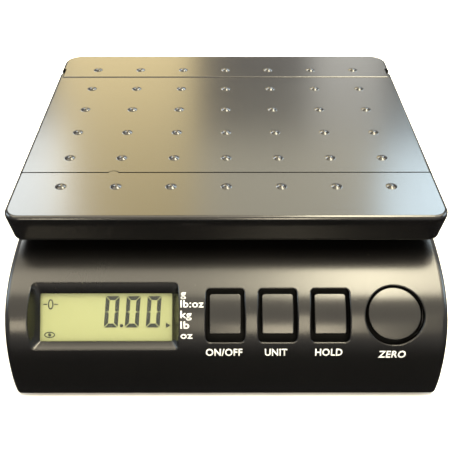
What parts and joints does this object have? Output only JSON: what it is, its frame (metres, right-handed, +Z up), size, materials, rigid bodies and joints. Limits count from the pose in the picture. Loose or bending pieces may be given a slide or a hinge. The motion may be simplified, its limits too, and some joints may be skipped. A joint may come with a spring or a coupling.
{
  "type": "platform shipping scale",
  "caption": "Compact counter-top shipping scale: bull-nosed black base with a sloped display and keys, load-cell tray with stud feet, and a swing-up envelope rest.",
  "frame": {"origin": "middle of the bounding box at the height of the counter the feet stand on", "axes": "+Z up, +Y from the control panel towards the rear, +X to the right of a person facing the display"},
  "size_m": [0.1932, 0.2028, 0.0783],
  "materials": {
    "housing_plastic": "satin black moulded ABS",
    "tray_plastic": "semi-gloss black moulded ABS",
    "key_plastic": "smooth black ABS",
    "foot_rubber": "matt rubber",
    "window_clear": "clear moulded window",
    "lcd_glass": "yellow-green reflective display",
    "frame_white": "natural",
    "silicone": "grey silicone",
    "circuit_board": "green solder mask",
    "steel": "zinc plated",
    "cell_aluminium": "machined",
    "battery_jacket": "satin sleeve, no marks",
    "inlet_plastic": "black",
    "lead_sleeve": "soft sleeve",
    "label_print": "white screen print"
  },
  "bodies": {
    "base": {"upper_housing": "housing_plastic", "base_plate": "housing_plastic", "foot_front_left": "foot_rubber", "foot_front_right": "foot_rubber", "foot_rear_left": "foot_rubber", "foot_rear_right": "foot_rubber", "display_window": "window_clear", "lcd_panel": "lcd_glass", "lcd_frame": "frame_white", "zebra_strip_upper": "silicone", "zebra_strip_lower": "silicone", "keypad_mat": "silicone", "main_board": "circuit_board", "housing_screw_1": "steel", "housing_screw_2": "steel", "housing_screw_3": "steel", "housing_screw_4": "steel", "board_screw_1": "steel", "board_screw_2": "steel", "board_screw_3": "steel", "board_screw_4": "steel", "cell_bolt_lower_1": "steel", "cell_bolt_lower_2": "steel", "cell_spacer_lower": "steel", "overload_stop_screw": "steel", "battery_contact_front": "steel", "battery_contact_rear": "steel", "load_cell": "cell_aluminium", "battery_1": "battery_jacket", "battery_2": "battery_jacket", "battery_3": "battery_jacket", "battery_4": "battery_jacket", "dc_jack": "inlet_plastic", "load_cell_lead": "lead_sleeve", "battery_lead": "lead_sleeve", "jack_lead": "lead_sleeve"},
    "platform": {"platform_tray": "tray_plastic", "platform_spider": "tray_plastic", "tray_bush_1": "foot_rubber", "tray_bush_2": "foot_rubber", "tray_bush_3": "foot_rubber", "tray_bush_4": "foot_rubber", "cell_bolt_upper_1": "steel", "cell_bolt_upper_2": "steel", "cell_spacer_upper": "steel", "flap_pin_left": "steel", "flap_pin_right": "steel"},
    "flap": {"envelope_flap": "tray_plastic"},
    "on_off_button": {"on_off_key": "key_plastic"},
    "unit_button": {"unit_key": "key_plastic"},
    "hold_button": {"hold_key": "key_plastic"},
    "zero_button": {"zero_key": "key_plastic"},
    "door": {"battery_door": "housing_plastic"}
  },
  "joints": [
    {"name": "platform_load", "type": "slide", "parent": "base", "child": "platform", "axis": [0, 0, 1], "range_m": [-0.0008, 0], "stiffness_N_per_m": 120000, "deforming": ["load_cell"]},
    {"name": "flap_hinge", "type": "hinge", "parent": "platform", "child": "flap", "pos_m": [0, 0.0734, 0.0755], "axis": [-1, 0, 0], "range_deg": [0, 112]},
    {"name": "on_off_press", "type": "slide", "parent": "base", "child": "on_off_button", "axis": [0, 0.7735, -0.6338], "range_m": [0, 0.0012], "stiffness_N_per_m": 400, "springref_m": -0.001, "deforming": ["keypad_mat"]},
    {"name": "unit_press", "type": "slide", "parent": "base", "child": "unit_button", "axis": [0, 0.7735, -0.6338], "range_m": [0, 0.0012], "stiffness_N_per_m": 400, "springref_m": -0.001, "deforming": ["keypad_mat"]},
    {"name": "hold_press", "type": "slide", "parent": "base", "child": "hold_button", "axis": [0, 0.7735, -0.6338], "range_m": [0, 0.0012], "stiffness_N_per_m": 400, "springref_m": -0.001, "deforming": ["keypad_mat"]},
    {"name": "zero_press", "type": "slide", "parent": "base", "child": "zero_button", "axis": [0, 0.7735, -0.6338], "range_m": [0, 0.0012], "stiffness_N_per_m": 400, "springref_m": -0.001, "deforming": ["keypad_mat"]},
    {"name": "door_slide", "type": "slide", "parent": "base", "child": "door", "axis": [0, 1, 0], "range_m": [0, 0.062]}
  ]
}
